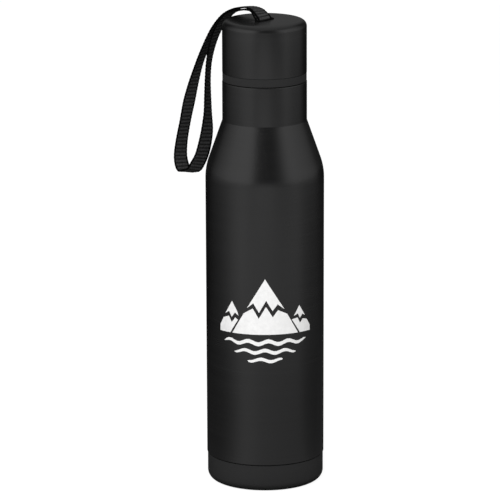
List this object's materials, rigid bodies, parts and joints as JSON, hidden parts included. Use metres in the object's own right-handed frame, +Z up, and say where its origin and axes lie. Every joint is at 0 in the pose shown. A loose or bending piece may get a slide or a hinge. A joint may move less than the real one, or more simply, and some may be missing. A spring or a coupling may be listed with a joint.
{
  "type": "insulated water bottle",
  "caption": "Slim double-wall vacuum flask with a necked shoulder, screw-in insulated lid, base cup and a webbing carry loop through the lid's slot.",
  "frame": {"origin": "centre of the resting plane, on the bottle's long axis, under the rubber foot pad", "axes": "+Z up along the bottle's long axis to the lid; -Y is the front that carries the print; the strap slot runs 49 degrees from +X towards +Y and the loop hangs on the side of (-0.755, 0.656, 0)"},
  "size_m": [0.0846, 0.0664, 0.2709],
  "materials": {
    "black_satin_steel": "black satin coat over brushed stainless steel, faint lines round the body",
    "brushed_steel": "turned and brushed stainless steel",
    "copper_foil": "thin bright copper foil",
    "black_plastic": "moulded polypropylene, fine satin",
    "black_rubber": "matt moulded rubber",
    "grey_silicone": "smooth translucent silicone",
    "white_foam": "closed-cell insulating foam",
    "black_webbing": "ribbed woven polyester webbing",
    "sealing_glass": "fused sealing glass",
    "getter_alloy": "pressed getter powder"
  },
  "bodies": {
    "bottle": {"outer_shell": "black_satin_steel", "inner_liner": "brushed_steel", "liner_bottom": "brushed_steel", "vacuum_base": "brushed_steel", "vacuum_seal_bead": "sealing_glass", "getter_pill": "getter_alloy", "radiation_foil": "copper_foil", "base_cup": "black_plastic", "foot_pad": "black_rubber"},
    "seal": {"plug_gasket": "grey_silicone"},
    "lid": {"lid_core": "black_plastic", "lid_shell": "black_satin_steel", "stopper_foam": "white_foam", "stopper_cap": "black_plastic", "slot_grommet": "black_plastic", "anchor_bracket": "brushed_steel", "anchor_screw_a": "brushed_steel", "anchor_screw_b": "brushed_steel", "strap_pin": "brushed_steel", "pin_clip": "brushed_steel", "strap_tail": "black_webbing"},
    "strap": {"strap_loop": "black_webbing"}
  },
  "joints": [
    {"name": "lid_lift", "type": "slide", "parent": "bottle", "child": "seal", "axis": [0, 0, 1], "range_m": [0, 0.0201]},
    {"name": "lid_turn", "type": "hinge", "parent": "seal", "child": "lid", "pos_m": [0, 0, 0.2304], "axis": [0, 0, 1], "range_deg": [0, 1440]},
    {"name": "strap_swing", "type": "hinge", "parent": "lid", "child": "strap", "pos_m": [0, 0, 0.2667], "axis": [0.6561, 0.7547, 0], "range_deg": [0, 150]}
  ],
  "couplings": [
    {"joint": "lid_lift", "follows": "lid_turn", "m_per_rad": 0.00079577}
  ]
}
